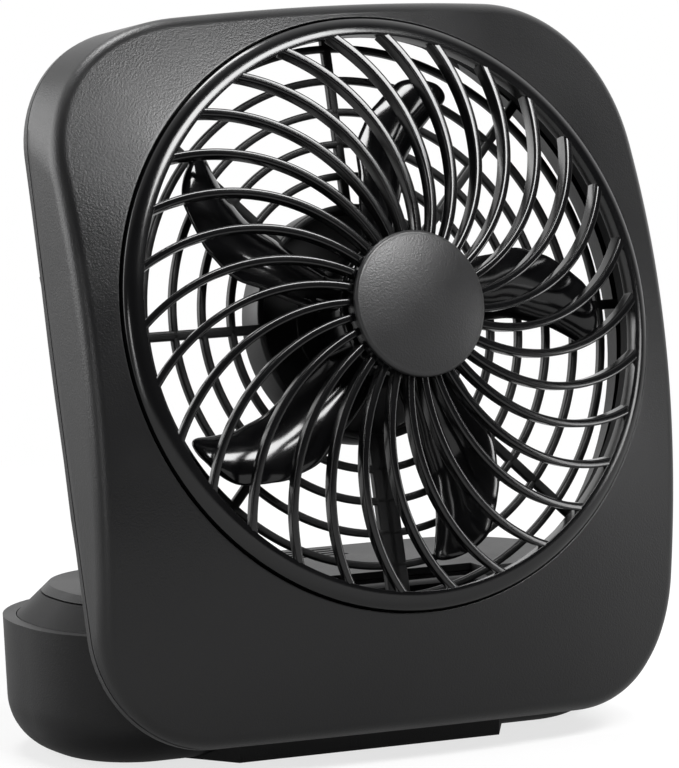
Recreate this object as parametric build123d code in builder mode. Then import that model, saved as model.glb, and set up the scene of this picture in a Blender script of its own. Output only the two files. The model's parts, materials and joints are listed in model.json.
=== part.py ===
from build123d import *
import os
from math import atan2, cos, hypot, radians, sin, sqrt, tan

# Square desk fan on a low battery base. Millimetres, +Z up, the fan blows towards -Y.
# The origin is the middle of the base's underside. The head leans back on a hinge across the base.

os.makedirs("parts", exist_ok=True)

# Clearances
overrun = 2.0                # how far a cut runs past the face it opens
running_clearance = 0.05     # a pin or shaft that turns in its bore, on the radius
seat_clearance = 0.1         # fixed pieces set into one another, each side
moving_gap = 0.4             # free-moving pieces, each side

# Base
base_width = 150.0
base_depth = 63.0
base_front_corner = 25.5
base_rear_corner = 34.0
base_lip_height = 30.7
base_draft = 3.0             # degrees
base_bottom_round = 13.2
base_core_round = 11.0
base_wall = 2.2
lip_ledge = 3.0              # flat rim between the tray's edge and the plateau
lip_thickness = 2.0
plateau_rise = 7.1           # plateau top above the lip
plateau_flank = 45.0         # degrees
lid_thickness = 1.6
lid_gap = 0.3
cover_wall = 2.0
cover_skirt = 2.5
foot_half_width = 34.0       # straight front foot under the hinge
foot_splay = 8.0
foot_run = 12.0
foot_height = 11.0
foot_setback = 1.3

# Tilt hinge
lean = 15.4                  # degrees, head at rest
hinge_height = 30.0
hinge_setback = 8.9          # axis behind the base's front wall
hinge_rise = 29.1            # axis above the head's lower edge, measured along the face
hinge_standoff = 10.0        # axis behind the head's back
knuckle_half = 29.0
knuckle_radius = 6.3
arm_above = 2.1
arm_below = 4.5
cheek_thickness = 5.0
cheek_radius = 6.2
hinge_pin_radius = 2.0
hinge_pin_grip = 12.0        # pin length inside the knuckle
trough_sill = 25.0           # height of the front wall under the hinge arm
trough_wall = 1.8

# Head
head_overhang = 0.4          # head past the base, each side
head_brow = 4.0              # above the opening
head_chin = 25.3             # below the opening
side_bulge = 0.5
corner_radius = 28.0
head_depth = 23.5            # back face behind the grille's groove
parting_depth = 20.5
head_draft = 2.5             # degrees
shell_wall = 2.0
edge_round = 4.5
back_round = 1.6
face_margin = 4.2            # crowned face drawn past the farthest corner
face_drop = 21.5             # face behind the groove where it ends
face_crown = 0.7
opening_margin = 8.0         # opening to the head's side
ledge_depth = 3.0
ledge_thickness = 2.0
ledge_width = 2.9
collar_thickness = 2.0
collar_rise = 1.8
duct_wall = 1.6
duct_end = 6.5

# Grille
groove_width = 0.8
rim_width = 4.2
rim_lip = 0.4                # rim's outer edge above the groove plane
rim_crest = 2.6              # rim's inner edge above the groove plane
rim_back = 1.2               # rim's inner wall below the groove plane
bar_count = 30
bar_width = 1.8
bar_depth = 3.0
bar_apex = 14.0              # dome of the bars, above the groove plane
bar_lead = 45.0              # degrees off the radius at the rim
bar_sweep = 30.0             # degrees from rim to hub
bar_bite = 1.0               # how far a bar runs into rim and hub
hub_radius = 16.0
hub_top = 13.4
hub_thickness = 3.8
cap_radius = 16.5
cap_rim = 1.9
cap_rise = 3.0
cap_round = 0.8
cap_peg_radius = 3.0
cap_peg_length = 2.6

# Rotor
blade_count = 5
blade_thickness = 1.9
blade_tip_gap = 8.0          # blade tip to the ledge
blade_chord = 16.0
blade_axial = -4.2           # blade's middle from the groove plane
blade_sink = 4.0             # blade's root inside the hub's radius
rotor_hub_radius = 16.0
rotor_hub_front = 7.0
rotor_hub_back = 6.0
rotor_hub_wall = 1.3
rotor_boss_radius = 3.5
rotor_boss_back = 3.2
shaft_radius = 1.0
shaft_front = 4.5
shaft_back = 16.9

# Each blade section: share of the way from root to tip, chord share, pitch in degrees,
# then how far it is swept and raised, as shares of the chord
blade_section_shares = [
    (0.00, 0.80, 32.0, 0.20, 0.12),
    (0.38, 0.97, 25.0, 0.28, 0.06),
    (0.66, 1.00, 19.0, 0.24, 0.00),
    (0.81, 0.88, 17.0, 0.05, 0.00),
    (0.92, 0.72, 15.0, -0.17, -0.02),
    (1.00, 0.34, 14.0, -0.29, -0.03),
]

# Motor
motor_radius = 12.2
motor_front = 5.0            # can's front behind the groove plane
motor_wall = 0.8
motor_boss_radius = 3.2
motor_boss_rise = 0.8
motor_cap_thickness = 2.0
magnet_thickness = 1.8
magnet_front = 7.5
magnet_back = 14.6
armature_gap = 0.6
armature_front = 8.6
armature_back = 13.6
bush_radius = 2.3
bush_length = 1.7

# Rear guard
guard_front = 11.6
guard_rib_depth = 1.8
guard_rib_width = 1.7
guard_first_ring = 27.0
guard_ring_count = 6
guard_last_gap = 4.75        # last ring inside the spokes' ends
guard_margin = 0.8           # spokes' ends past the front opening
guard_spoke_count = 8
guard_spoke_width = 2.2
guard_channel_width = 5.6
pod_back = 19.5              # motor pod behind the groove plane
plate_thickness = 2.0
cup_wall = 1.5
cup_front = 9.5

# Rear opening, a flared wall that carries the guard's spokes
flare_seat = 0.6             # spoke's end resting on the wall
flare_spread = 3.0           # wall's back edge past the spokes' ends
flare_wall = 1.8
flare_top = 58.0             # wall left out above this height
opening_edge = 2.9           # back plate left at the head's edge
opening_sill = 2.0           # and above the hinge arm

# Head screws
shell_post_radius = 4.2
shell_post_depth = 17.0
shell_post_side = 18.4       # upper posts in from the head's side
shell_post_brow = 18.4       # and below its top
shell_post_low_side = 12.4   # lower posts in from the head's side
shell_post_chin = 40.7       # and above its lower edge
screw_head_radius = 2.7
screw_head_height = 1.8
screw_radius = 1.4
screw_bite = 6.0             # screw length past its joint
screw_recess = 2.4

# Cells and base fittings
cell_radius = 13.1           # C-size rechargeable cells
cell_length = 50.0
cell_nub_radius = 3.7
cell_nub_length = 1.5
cell_lift = 3.0
contact_thickness = 0.5
contact_width = 12.0
contact_height = 14.0
contact_button = 2.6
contact_spring = 1.8         # gap that the bowed leaf fills
holder_thickness = 2.0
holder_width = 24.0
holder_height = 27.0
cradle_thickness = 1.6
cradle_height = 12.0
cradle_spacing = 30.0
cradle_place_shares = (-1.5, -0.5, 0.5, 1.5)
cradle_width = 24.0
bay_margin = 0.6
tongue_inset = 36.5
tongue_width = 6.0
tongue_leg = 1.5
tongue_reach = 4.8
tongue_thickness = 1.3
grip_count = 4
grip_length = 34.0
grip_width = 1.2
grip_depth = 0.6
grip_pitch = 2.6
grip_setback = 14.0
base_post_radius = 3.8
base_post_top = 11.0
base_post_sink = 6.5
base_boss_radius = 2.6
base_post_x = 47.0
base_post_setback = 15.0
hook_x = 24.0                # cover's rear hooks, under the tray's lip
hook_width = 8.0
hook_height = 1.9
hook_reach = 0.5
board_gap = 1.2              # board to the cell holder
board_width = 12.0
board_thickness = 1.6
board_height = 8.6
board_end_gap = 4.0
board_setback = 23.0
board_pad = 3.0
board_corner = 1.0
port_width = 9.0
port_height = 3.2
port_length = 9.0
port_wall = 0.35
port_tongue = 0.7
port_back = 2.0
port_inset = 0.8             # mouth behind the base's side
port_flat = 0.05             # short flat left at each rounded end
switch_height = 22.0
switch_length = 22.0
switch_depth = 3.4
switch_tall = 8.0
switch_travel = 4.0
knob_length = 6.0
knob_tall = 4.4
knob_proud = 1.2
knob_flange = 1.6
knob_flange_thickness = 0.9
knob_groove = 0.6

# Places worked out from those sizes
base_front = -base_depth / 2
base_rear = base_depth / 2
plateau_height = base_lip_height + plateau_rise
deck_height = plateau_height - lid_thickness - lid_gap
head_width = base_width + 2 * head_overhang
opening_radius = head_width / 2 - opening_margin
head_top = opening_radius + head_brow
head_bottom = opening_radius + head_chin
face_reach = hypot(head_width / 2 - corner_radius, head_bottom - corner_radius) + corner_radius + face_margin
ledge_radius = opening_radius - ledge_width
blade_tip = ledge_radius - blade_tip_gap
guard_reach = opening_radius + guard_margin
guard_last_ring = guard_reach - guard_last_gap
guard_ring_pitch = (guard_last_ring - guard_first_ring) / (guard_ring_count - 1)
guard_back = guard_front + guard_rib_depth
flare_back_radius = guard_reach + flare_spread
hinge_drop = head_bottom - hinge_rise
hinge_y = base_front + hinge_setback
face_up = Vector(0, sin(radians(lean)), cos(radians(lean)))
face_out = Vector(0, -cos(radians(lean)), sin(radians(lean)))
hinge_point = Vector(0, hinge_y, hinge_height)
head_centre = hinge_point + face_up * hinge_drop + face_out * (head_depth + hinge_standoff)
head_plane = Plane(origin=head_centre, x_dir=(1, 0, 0), z_dir=face_out)
head_section = Plane(origin=head_centre, x_dir=(1, 0, 0), z_dir=-face_up)
fan_axis = Axis(head_centre, face_out)
trough_rear = hinge_y + knuckle_radius + moving_gap
cheek_inner = knuckle_half + moving_gap
cheek_outer = cheek_inner + cheek_thickness
rim_radius = opening_radius - groove_width
rim_inner = rim_radius - rim_width
motor_back = pod_back - plate_thickness
back_inside = head_depth - shell_wall
cell_axis_height = base_wall + cell_lift + cell_radius
bay_half_depth = cell_radius + bay_margin
bay_half_width = cell_length + contact_spring + bay_margin


def base_inset(height):
    """How far the tray's drafted wall stands inside its lip at a height."""
    return (base_lip_height - height) * tan(radians(base_draft))


def base_outline(plane, inset):
    """Plan of the base on a plane, drawn in from its lip by inset."""
    with BuildSketch(plane) as outline:
        plan = Rectangle(base_width - 2 * inset, base_depth - 2 * inset)
        corners = plan.vertices().group_by(Axis.Y)
        fillet(corners[0], radius=base_front_corner - inset)
        fillet(outline.vertices().group_by(Axis.Y)[-1], radius=base_rear_corner - inset)
    return outline.sketch


def head_outline(plane, inset):
    """Front outline of the head on a plane: four bowed sides with round corners, drawn in by inset."""
    half = head_width / 2 - inset
    top = head_top - inset
    bottom = -head_bottom + inset
    low = bottom + side_bulge
    high = top - side_bulge
    near = half - side_bulge
    middle = (low + high) / 2
    with BuildSketch(plane) as outline:
        with BuildLine():
            ThreePointArc((near, low), (half, middle), (near, high))
            ThreePointArc((near, high), (0, top), (-near, high))
            ThreePointArc((-near, high), (-half, middle), (-near, low))
            ThreePointArc((-near, low), (0, bottom), (near, low))
        make_face()
        fillet(outline.vertices(), radius=corner_radius - inset)
    return outline.sketch


def head_blank(inset, front_round, rear_round):
    """Whole pillow of the head, smaller by inset all round, with its edges rounded where asked."""
    back = head_depth - inset
    draft_inset = back * tan(radians(head_draft))
    slope = atan2(face_drop, face_reach - opening_radius)
    start = Vector(opening_radius, -inset)
    end = Vector(face_reach, -face_drop - inset)
    crown = (start + end) * 0.5 + Vector(sin(slope), cos(slope)) * face_crown
    with BuildPart() as blank:
        extrude(head_outline(head_plane.offset(-back), inset + draft_inset), amount=back, taper=-head_draft)
        if rear_round:
            fillet(blank.faces().sort_by(fan_axis)[0].edges(), radius=rear_round)
        with BuildSketch(head_section):
            with BuildLine():
                face_line = ThreePointArc(start, crown, end)
                Polyline(
                    face_line @ 1,
                    (face_reach, -head_depth - overrun),
                    (0, -head_depth - overrun),
                    (0, -inset),
                    face_line @ 0,
                )
            make_face()
        revolve(axis=fan_axis, mode=Mode.INTERSECT)
        if front_round:
            crowned = blank.faces().filter_by(GeomType.REVOLUTION).sort_by(SortBy.AREA)[-1]
            rim_edges = crowned.edges().filter_by(GeomType.CIRCLE, reverse=True)
            fillet(rim_edges, radius=front_round)
    return blank.part


def shell_post_places():
    """Four screw places of the head, in the face's own coordinates."""
    upper_x = head_width / 2 - shell_post_side
    lower_x = head_width / 2 - shell_post_low_side
    upper = [(side * upper_x, head_top - shell_post_brow) for side in (-1, 1)]
    lower = [(side * lower_x, shell_post_chin - head_bottom) for side in (-1, 1)]
    return upper + lower


def base_post_places():
    """Two screw places of the base, in plan."""
    return [(side * base_post_x, base_front + base_post_setback) for side in (-1, 1)]


def finish(builder, name):
    """Labels a finished piece and writes it."""
    builder.part.label = name
    export_step(builder.part, f"parts/{name}.step")


# Head shells: one rounded pillow, parted behind the side walls and hollowed
outer_blank = head_blank(0, edge_round, back_round)
inner_blank = head_blank(shell_wall, 0, 0)
middle_blank = head_blank(shell_wall / 2, 0, 0)

with BuildPart() as front_posts:
    with BuildSketch(head_plane.offset(-shell_post_depth)):
        with Locations(*shell_post_places()):
            Circle(shell_post_radius)
    extrude(amount=shell_post_depth)
    add(middle_blank, mode=Mode.INTERSECT)

with BuildPart() as front_shell:
    add(outer_blank)
    split(bisect_by=head_plane.offset(-parting_depth), keep=Keep.TOP)
    add(inner_blank, mode=Mode.SUBTRACT)
    add(front_posts.part)
    with BuildSketch(head_plane.offset(-head_depth)):
        Circle(opening_radius)
    extrude(amount=head_depth + overrun, mode=Mode.SUBTRACT)
    with BuildSketch(head_section):
        with BuildLine():
            collar_radius = opening_radius + collar_thickness
            ledge_back = ledge_depth + ledge_thickness
            Polyline(
                (ledge_radius, -duct_end),
                (ledge_radius + duct_wall, -duct_end),
                (ledge_radius + duct_wall, -ledge_back),
                (collar_radius, -ledge_back),
                (collar_radius, -collar_rise),
                (opening_radius, -collar_rise),
                (opening_radius, -ledge_depth),
                (ledge_radius, -ledge_depth),
                close=True,
            )
        make_face()
    revolve(axis=fan_axis)
    with BuildSketch(head_plane.offset(-shell_post_depth)):
        with Locations(*shell_post_places()):
            Circle(screw_radius + seat_clearance)
    extrude(amount=screw_bite + seat_clearance, mode=Mode.SUBTRACT)
finish(front_shell, "front_shell")

with BuildPart() as rear_opening:
    edge_inset = head_depth * tan(radians(head_draft)) + opening_edge
    extrude(head_outline(head_plane.offset(-head_depth), edge_inset), amount=head_depth)
    with BuildSketch(head_plane.offset(-head_depth)):
        Circle(flare_back_radius)
    extrude(amount=head_depth, mode=Mode.INTERSECT)
    sill_point = head_centre + face_up * (arm_above + opening_sill - hinge_drop)
    split(bisect_by=Plane(origin=sill_point, x_dir=(1, 0, 0), z_dir=face_up), keep=Keep.TOP)

with BuildPart() as rear_flare:
    with BuildSketch(head_section):
        with BuildLine():
            flare_front_radius = guard_reach - flare_seat
            flare_front = guard_back + seat_clearance
            Polyline(
                (flare_front_radius, -flare_front),
                (flare_front_radius + flare_wall, -flare_front),
                (flare_back_radius + flare_wall, -head_depth),
                (flare_back_radius, -head_depth),
                close=True,
            )
        make_face()
    revolve(axis=fan_axis)
    top_point = head_centre + face_up * flare_top
    split(bisect_by=Plane(origin=top_point, x_dir=(1, 0, 0), z_dir=face_up), keep=Keep.BOTTOM)

with BuildPart() as rear_shell:
    add(outer_blank)
    split(bisect_by=head_plane.offset(-parting_depth), keep=Keep.BOTTOM)
    add(inner_blank, mode=Mode.SUBTRACT)
    add(rear_opening.part, mode=Mode.SUBTRACT)
    add(rear_flare.part)
    with BuildSketch(head_plane.offset(-back_inside - shell_wall / 2)):
        with Locations(*shell_post_places()):
            Circle(shell_post_radius)
    extrude(amount=back_inside + shell_wall / 2 - shell_post_depth)
    with BuildSketch(head_plane.offset(-head_depth)):
        with Locations(*shell_post_places()):
            Circle(screw_head_radius + moving_gap)
    extrude(amount=screw_recess, mode=Mode.SUBTRACT)
    with BuildSketch(head_plane.offset(-head_depth)):
        with Locations(*shell_post_places()):
            Circle(screw_radius + seat_clearance)
    extrude(amount=head_depth, mode=Mode.SUBTRACT)
    with BuildSketch(head_plane.offset(-head_depth - hinge_standoff)):
        with Locations((0, -hinge_drop + (arm_above - arm_below) / 2)):
            Rectangle(2 * knuckle_half, arm_above + arm_below)
    extrude(amount=hinge_standoff + shell_wall / 2)
    with BuildSketch(Plane.YZ.offset(-knuckle_half)):
        with Locations((hinge_y, hinge_height)):
            Circle(knuckle_radius)
    extrude(amount=2 * knuckle_half)
    for side in (-1, 1):
        with BuildSketch(Plane.YZ.offset(side * knuckle_half)):
            with Locations((hinge_y, hinge_height)):
                Circle(hinge_pin_radius + running_clearance)
        extrude(amount=-side * (hinge_pin_grip + moving_gap), mode=Mode.SUBTRACT)
finish(rear_shell, "rear_shell")

with BuildPart() as shell_screws:
    head_seat = head_depth - screw_recess
    with BuildSketch(head_plane.offset(-head_seat)):
        with Locations(*shell_post_places()):
            Circle(screw_head_radius)
    extrude(amount=-screw_head_height)
    with BuildSketch(head_plane.offset(-head_seat)):
        with Locations(*shell_post_places()):
            Circle(screw_radius)
    extrude(amount=head_seat - shell_post_depth + screw_bite)
finish(shell_screws, "shell_screws")

# Front grille: rim, swept bars cut from one dome, and a hub that carries the cap
bar_outer = rim_inner + bar_bite
bar_inner = hub_radius - bar_bite
bar_drop = bar_apex - rim_crest
dome_radius = (rim_inner**2 + bar_drop**2) / (2 * bar_drop)
bar_lead_direction = (-cos(radians(bar_lead)), -sin(radians(bar_lead)))
bar_end = (bar_inner * cos(radians(bar_sweep)), -bar_inner * sin(radians(bar_sweep)))

with BuildPart() as grille_bar:
    with BuildSketch(head_plane.offset(-bar_depth)):
        with BuildLine():
            TangentArc((bar_outer, 0), bar_end, tangent=bar_lead_direction)
        trace(line_width=bar_width)
    extrude(amount=bar_depth + bar_apex + overrun)
    with BuildSketch(head_section):
        with BuildLine():
            reach = rim_inner + 2 * bar_bite
            fall = dome_radius - sqrt(dome_radius**2 - reach**2)
            half_fall = dome_radius - sqrt(dome_radius**2 - (reach / 2) ** 2)
            front = ThreePointArc((0, bar_apex), (reach / 2, bar_apex - half_fall), (reach, bar_apex - fall))
            low = bar_apex - bar_depth
            back = ThreePointArc((0, low), (reach / 2, low - half_fall), (reach, low - fall))
            Line(front @ 0, back @ 0)
            Line(front @ 1, back @ 1)
        make_face()
    revolve(axis=fan_axis, mode=Mode.INTERSECT)

with BuildPart() as front_grille:
    with BuildSketch(head_section):
        with BuildLine():
            Polyline(
                (rim_radius, rim_lip),
                (rim_radius, -ledge_depth),
                (ledge_radius, -ledge_depth),
                (rim_inner, -rim_back),
                (rim_inner, rim_crest),
            )
            TangentArc((rim_inner, rim_crest), (rim_radius, rim_lip), tangent=(1, 0))
        make_face()
    revolve(axis=fan_axis)
    add([grille_bar.part.rotate(fan_axis, step * 360 / bar_count) for step in range(bar_count)])
    with BuildSketch(head_plane.offset(hub_top - hub_thickness)):
        Circle(hub_radius)
    extrude(amount=hub_thickness)
    with BuildSketch(head_plane.offset(hub_top - cap_peg_length - moving_gap)):
        Circle(cap_peg_radius + seat_clearance)
    extrude(amount=cap_peg_length + moving_gap, mode=Mode.SUBTRACT)
finish(front_grille, "front_grille")

with BuildPart() as centre_cap:
    with BuildSketch(head_section) as cap_profile:
        with BuildLine():
            rim_top = hub_top + cap_rim
            Polyline(
                (0, hub_top + cap_rise),
                (0, hub_top - cap_peg_length),
                (cap_peg_radius, hub_top - cap_peg_length),
                (cap_peg_radius, hub_top),
                (cap_radius, hub_top),
                (cap_radius, rim_top),
            )
            TangentArc((0, hub_top + cap_rise), (cap_radius, rim_top), tangent=(1, 0))
        make_face()
        outer_corner = cap_profile.vertices().sort_by(Axis(head_centre, (1, 0, 0)))[-2:]
        fillet(outer_corner.sort_by(Axis(head_centre, face_out))[-1], radius=cap_round)
    revolve(axis=fan_axis)
finish(centre_cap, "centre_cap")

# Rotor: lofted paddles on a hub cup that hides the motor
blade_root = rotor_hub_radius - blade_sink
with BuildPart() as paddle:
    for span_share, chord_share, pitch, sweep_share, rise_share in blade_section_shares:
        radius = blade_root + span_share * (blade_tip - blade_root)
        height = blade_axial + rise_share * blade_chord
        spot = head_centre + Vector(radius, 0, 0) + face_out * height
        with BuildSketch(Plane(origin=spot, x_dir=face_up, z_dir=(1, 0, 0))):
            with Locations((sweep_share * blade_chord, 0)):
                SlotOverall(chord_share * blade_chord, blade_thickness, rotation=pitch)
    loft()

with BuildPart() as fan_rotor:
    for blade in range(blade_count):
        add(paddle.part.rotate(fan_axis, blade * 360 / blade_count))
    with BuildSketch(head_plane.offset(-rotor_hub_back)):
        Circle(rotor_hub_radius)
    extrude(amount=rotor_hub_back + rotor_hub_front)
    hub_front = fan_rotor.faces().filter_by(Axis(head_centre, face_out)).sort_by(fan_axis)[-1]
    fillet(hub_front.edges(), radius=rotor_hub_wall)
    with BuildSketch(head_plane.offset(-motor_back)):
        Circle(rotor_hub_radius - rotor_hub_wall)
    extrude(amount=motor_back + rotor_hub_front - rotor_hub_wall, mode=Mode.SUBTRACT)
    with BuildSketch(head_plane.offset(-rotor_boss_back)):
        Circle(rotor_boss_radius)
    extrude(amount=rotor_boss_back + rotor_hub_front - rotor_hub_wall / 2)
    with BuildSketch(head_plane.offset(-rotor_boss_back)):
        Circle(shaft_radius + running_clearance)
    extrude(amount=rotor_boss_back + shaft_front + seat_clearance, mode=Mode.SUBTRACT)
finish(fan_rotor, "fan_rotor")

with BuildPart() as motor_shaft:
    with BuildSketch(head_plane.offset(-shaft_back)):
        Circle(shaft_radius)
    extrude(amount=shaft_back + shaft_front)
finish(motor_shaft, "motor_shaft")

# Motor: steel can with magnets, a moulded end cap and two bushes
with BuildPart() as motor_can:
    with BuildSketch(head_plane.offset(-motor_back)):
        Circle(motor_radius)
    extrude(amount=motor_back - motor_front)
    with BuildSketch(head_plane.offset(-motor_front)):
        Circle(motor_boss_radius)
    extrude(amount=motor_boss_rise)
    with BuildSketch(head_plane.offset(-motor_back)):
        Circle(motor_radius - motor_wall)
    extrude(amount=motor_back - motor_front - motor_wall, mode=Mode.SUBTRACT)
    with BuildSketch(head_plane.offset(-motor_back)):
        Circle(bush_radius + seat_clearance)
    extrude(amount=motor_back, mode=Mode.SUBTRACT)
finish(motor_can, "motor_can")

with BuildPart() as motor_end_cap:
    with BuildSketch(head_plane.offset(-motor_back)):
        Circle(motor_radius - motor_wall - seat_clearance)
        Circle(bush_radius + seat_clearance, mode=Mode.SUBTRACT)
    extrude(amount=motor_cap_thickness)
finish(motor_end_cap, "motor_end_cap")

with BuildPart() as motor_bushes:
    front_bush = -motor_front + motor_boss_rise - bush_length
    for bush_back in (-motor_back, front_bush):
        with BuildSketch(head_plane.offset(bush_back)):
            Circle(bush_radius)
            Circle(shaft_radius + running_clearance, mode=Mode.SUBTRACT)
        extrude(amount=bush_length)
finish(motor_bushes, "motor_bushes")

with BuildPart() as motor_magnets:
    magnet_radius = motor_radius - motor_wall - seat_clearance
    with BuildSketch(head_plane.offset(-magnet_back)):
        Circle(magnet_radius)
        Circle(magnet_radius - magnet_thickness, mode=Mode.SUBTRACT)
    extrude(amount=magnet_back - magnet_front)
finish(motor_magnets, "motor_magnets")

with BuildPart() as motor_armature:
    with BuildSketch(head_plane.offset(-armature_back)):
        Circle(magnet_radius - magnet_thickness - armature_gap)
        Circle(shaft_radius + running_clearance, mode=Mode.SUBTRACT)
    extrude(amount=armature_back - armature_front)
finish(motor_armature, "motor_armature")

# Rear guard: rings and spokes round a pod with the motor's cup
with BuildPart() as rear_guard:
    for ring in range(guard_ring_count):
        ring_radius = guard_first_ring + ring * guard_ring_pitch
        with BuildSketch(head_plane.offset(-guard_back)):
            Circle(ring_radius)
            Circle(ring_radius - guard_rib_width, mode=Mode.SUBTRACT)
    spoke_inner = guard_first_ring - guard_rib_width / 2
    spoke_length = guard_reach - spoke_inner
    with BuildSketch(head_plane.offset(-guard_back)):
        with PolarLocations(spoke_inner + spoke_length / 2, guard_spoke_count):
            Rectangle(spoke_length, guard_spoke_width)
        with Locations((0, -spoke_inner - spoke_length / 2)):
            Rectangle(guard_channel_width, spoke_length)
    extrude(amount=guard_rib_depth)
    with BuildSketch(head_plane.offset(-pod_back)):
        Circle(guard_first_ring)
        Circle(guard_first_ring - guard_rib_width, mode=Mode.SUBTRACT)
    extrude(amount=pod_back - guard_front)
    with BuildSketch(head_plane.offset(-pod_back)):
        Circle(guard_first_ring - guard_rib_width / 2)
    extrude(amount=plate_thickness)
    with BuildSketch(head_plane.offset(-pod_back)):
        Circle(motor_radius + seat_clearance + cup_wall)
    extrude(amount=pod_back - cup_front)
    with BuildSketch(head_plane.offset(-motor_back)):
        Circle(motor_radius + seat_clearance)
    extrude(amount=motor_back, mode=Mode.SUBTRACT)
finish(rear_guard, "rear_guard")

# Base tray: drafted tub with a rounded lower edge, an inward lip and the hinge cheeks
switch_wall = base_rear - base_inset(switch_height) - base_wall
switch_face = switch_wall - knob_flange_thickness - 2 * moving_gap
cell_shift = (trough_rear + trough_wall + switch_face - switch_depth) / 2
board_end = base_width / 2 - base_inset(board_height) - base_wall - board_end_gap
board_length = board_end - bay_half_width - holder_thickness - board_gap
board_y = base_front + board_setback + board_width / 2
board_top = board_height + board_thickness
port_mouth = base_width / 2 - base_inset(board_top) - port_inset
bracket_reach = knob_length / 2 + knob_flange + switch_travel + moving_gap

with BuildPart() as tray_blank:
    extrude(base_outline(Plane.XY, base_inset(0)), amount=base_lip_height, taper=-base_draft)
    fillet(tray_blank.edges().group_by(Axis.Z)[0], radius=base_bottom_round)
    foot_front = base_front + foot_setback
    with BuildSketch(Plane.XY):
        with BuildLine():
            Polyline(
                (-foot_half_width, foot_front),
                (foot_half_width, foot_front),
                (foot_half_width + foot_splay, foot_front + foot_run),
                (-foot_half_width - foot_splay, foot_front + foot_run),
                close=True,
            )
        make_face()
    extrude(amount=foot_height)

with BuildPart() as tray_core:
    core_plane = Plane.XY.offset(base_wall)
    core_height = base_lip_height - lip_thickness - base_wall
    core_plan = base_outline(core_plane, base_inset(base_wall) + base_wall)
    extrude(core_plan, amount=core_height, taper=-base_draft)
    fillet(tray_core.edges().group_by(Axis.Z)[0], radius=base_core_round)

with BuildPart() as tray_fittings:
    for side in (-1, 1):
        with BuildSketch(Plane.YZ.offset(side * cheek_inner)):
            with Locations((hinge_y, hinge_height)):
                Circle(cheek_radius)
            with Locations((hinge_y, hinge_height / 2)):
                Rectangle(2 * cheek_radius, hinge_height)
        extrude(amount=side * cheek_thickness)
        with BuildSketch(Plane.YZ.offset(side * bay_half_width)):
            with Locations((cell_shift, holder_height / 2)):
                Rectangle(holder_width, holder_height)
        extrude(amount=side * holder_thickness)
        with BuildSketch(Plane.XZ.offset(-switch_face - seat_clearance)):
            with Locations((side * (bracket_reach + switch_length / 2) / 2, switch_height)):
                Rectangle(switch_length / 2 - bracket_reach, switch_tall)
        extrude(amount=-(switch_wall - switch_face - seat_clearance + base_wall / 2))
    for place_share in cradle_place_shares:
        with BuildSketch(Plane.YZ.offset(place_share * cradle_spacing - cradle_thickness / 2)):
            with Locations((cell_shift, cradle_height / 2)):
                Rectangle(cradle_width, cradle_height)
        extrude(amount=cradle_thickness)
    with BuildSketch(Plane.XY):
        with Locations((0, trough_rear + trough_wall / 2)):
            Rectangle(2 * cheek_outer, trough_wall)
        for side in (-1, 1):
            with Locations((side * (cheek_outer - trough_wall / 2), (hinge_y + trough_rear) / 2)):
                Rectangle(trough_wall, trough_rear - hinge_y + trough_wall)
    extrude(amount=base_lip_height - lip_thickness - base_wall)
    with BuildSketch(Plane.XY):
        with Locations(*base_post_places()):
            Circle(base_post_radius)
    extrude(amount=base_post_top)
    with BuildSketch(Plane.XY):
        for pad_x in (board_end - board_length + board_pad, board_end - board_pad):
            with Locations((pad_x, board_y)):
                Rectangle(board_pad, board_width - board_pad)
    extrude(amount=board_height)
    with BuildSketch(Plane.YZ.offset(-bay_half_width)):
        with Locations((cell_shift, cell_axis_height)):
            Circle(cell_radius + seat_clearance)
    extrude(amount=2 * bay_half_width, mode=Mode.SUBTRACT)

with BuildPart() as tray_limit:
    add(tray_blank.part)
    extrude(base_outline(Plane.XY.offset(base_lip_height), 0), amount=plateau_rise)

with BuildPart() as base_tray:
    add(tray_blank.part)
    add(tray_core.part, mode=Mode.SUBTRACT)
    mouth_plane = Plane.XY.offset(base_lip_height - lip_thickness)
    extrude(base_outline(mouth_plane, lip_ledge), amount=lip_thickness, mode=Mode.SUBTRACT)
    notch_depth = trough_rear - base_front + overrun
    with BuildSketch(Plane.XY.offset(trough_sill)):
        with Locations((0, trough_rear - notch_depth / 2)):
            Rectangle(2 * cheek_outer, notch_depth)
    extrude(amount=base_lip_height, mode=Mode.SUBTRACT)
    add(tray_fittings.part.intersect(tray_limit.part))
    with BuildSketch(Plane.YZ.offset(-cheek_outer - overrun)):
        with Locations((hinge_y, hinge_height)):
            Circle(hinge_pin_radius + seat_clearance)
    extrude(amount=2 * (cheek_outer + overrun), mode=Mode.SUBTRACT)
    with BuildSketch(Plane.XY):
        with Locations(*base_post_places()):
            Circle(screw_head_radius + seat_clearance)
    extrude(amount=base_post_sink, mode=Mode.SUBTRACT)
    with BuildSketch(Plane.XY):
        with Locations(*base_post_places()):
            Circle(screw_radius + seat_clearance)
    extrude(amount=base_post_top + overrun, mode=Mode.SUBTRACT)
    with BuildSketch(Plane.XZ.offset(-switch_face)):
        with Locations((0, switch_height)):
            slot_half = knob_length / 2 + switch_travel + moving_gap
            Rectangle(2 * slot_half, knob_tall + 2 * moving_gap)
    extrude(amount=-base_depth / 2, mode=Mode.SUBTRACT)
    with BuildSketch(Plane.YZ.offset(port_mouth - port_length)):
        with Locations((board_y, board_top + port_height / 2)):
            port_opening = port_height + 2 * seat_clearance
            RectangleRounded(port_width + 2 * seat_clearance, port_opening, port_opening / 2 - port_flat)
    extrude(amount=base_width / 2, mode=Mode.SUBTRACT)
finish(base_tray, "base_tray")

# Top cover: chamfered plateau set in the tray's lip, open over the cells
cover_inset = lip_ledge + 2 * seat_clearance
flank_slope = tan(radians(plateau_flank))
notch_half_width = cheek_outer + moving_gap

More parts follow.
